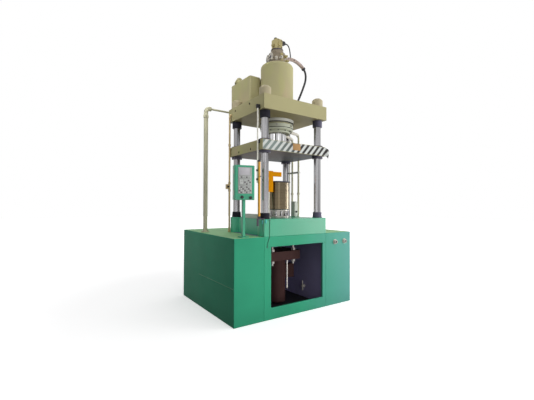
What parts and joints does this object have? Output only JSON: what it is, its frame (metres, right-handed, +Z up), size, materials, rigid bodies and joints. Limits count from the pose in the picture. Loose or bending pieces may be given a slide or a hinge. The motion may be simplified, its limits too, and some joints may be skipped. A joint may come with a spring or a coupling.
{
  "type": "hydraulic press",
  "caption": "Four-column hydraulic press on a green oil-tank base, with a khaki crown and main cylinder, a striped guided slide, a die, a control pendant and a lower ejector cylinder.",
  "frame": {"origin": "On the ground, under the middle of the tank base.", "axes": "+Z is up, -Y is the front with the window, and +X is to the right seen from the front."},
  "size_m": [1.91, 1.634, 3.721],
  "materials": {
    "green_enamel": "gloss",
    "khaki_enamel": "satin",
    "grey_enamel": "satin",
    "dark_steel": "matte",
    "black_steel": "satin",
    "chrome_steel": "polished",
    "bare_steel": "brushed",
    "brass": "satin",
    "black_plastic": "matte",
    "black_rubber": "matte",
    "yellow_paint": "satin",
    "orange_paint": "satin",
    "pale_paint": "satin",
    "die_steel": "polished",
    "red_oxide": "matte"
  },
  "bodies": {
    "frame": {"front_panel": "green_enamel", "bay_walls": "green_enamel", "bay_floor": "dark_steel", "bed": "green_enamel", "tank_left": "green_enamel", "tank_right": "green_enamel", "tank_rear": "green_enamel", "column_front_left": "chrome_steel", "column_front_right": "chrome_steel", "column_back_left": "chrome_steel", "column_back_right": "chrome_steel", "foot_collars": "black_steel", "head_collars": "black_steel", "column_nuts": "khaki_enamel", "crown": "khaki_enamel", "main_cylinder": "khaki_enamel", "lock_ring": "grey_enamel", "rod_gland": "grey_enamel", "filling_tank": "khaki_enamel", "tank_breather": "black_steel", "filling_valve": "bare_steel", "valve_block": "brass", "valve_knob": "black_plastic", "valve_connector": "black_plastic", "valve_cable": "black_rubber", "hose_sleeve": "bare_steel", "pressure_hose": "black_rubber", "hose_union": "bare_steel", "return_pipe": "khaki_enamel", "return_line": "khaki_enamel", "pendant_post": "green_enamel", "pendant_box": "green_enamel", "curtain_bracket": "black_steel", "light_curtain": "yellow_paint", "switch_rod": "pale_paint", "limit_switches": "black_plastic", "lube_pipe": "khaki_enamel", "feed_pipes": "khaki_enamel", "junction_box": "grey_enamel", "die_base": "bare_steel", "die_body": "die_steel", "die_ring": "black_steel", "bracket_post": "pale_paint", "bracket_arm": "orange_paint", "ejector_plate": "red_oxide", "ejector_studs": "bare_steel", "ejector_cylinder": "red_oxide", "ejector_block": "red_oxide", "indicator_rod": "pale_paint", "front_couplings": "bare_steel", "pipe_clamp": "grey_enamel", "cable_duct": "pale_paint", "curtain_lead": "black_rubber"},
    "slide": {"slide_plate": "khaki_enamel", "upper_bushes": "black_steel", "lower_bushes": "black_steel", "piston_rod": "chrome_steel", "slide_dog": "black_plastic"}
  },
  "joints": [
    {"name": "slide_travel", "type": "slide", "parent": "frame", "child": "slide", "axis": [0, 0, 1], "range_m": [-0.22, 0.15]}
  ]
}
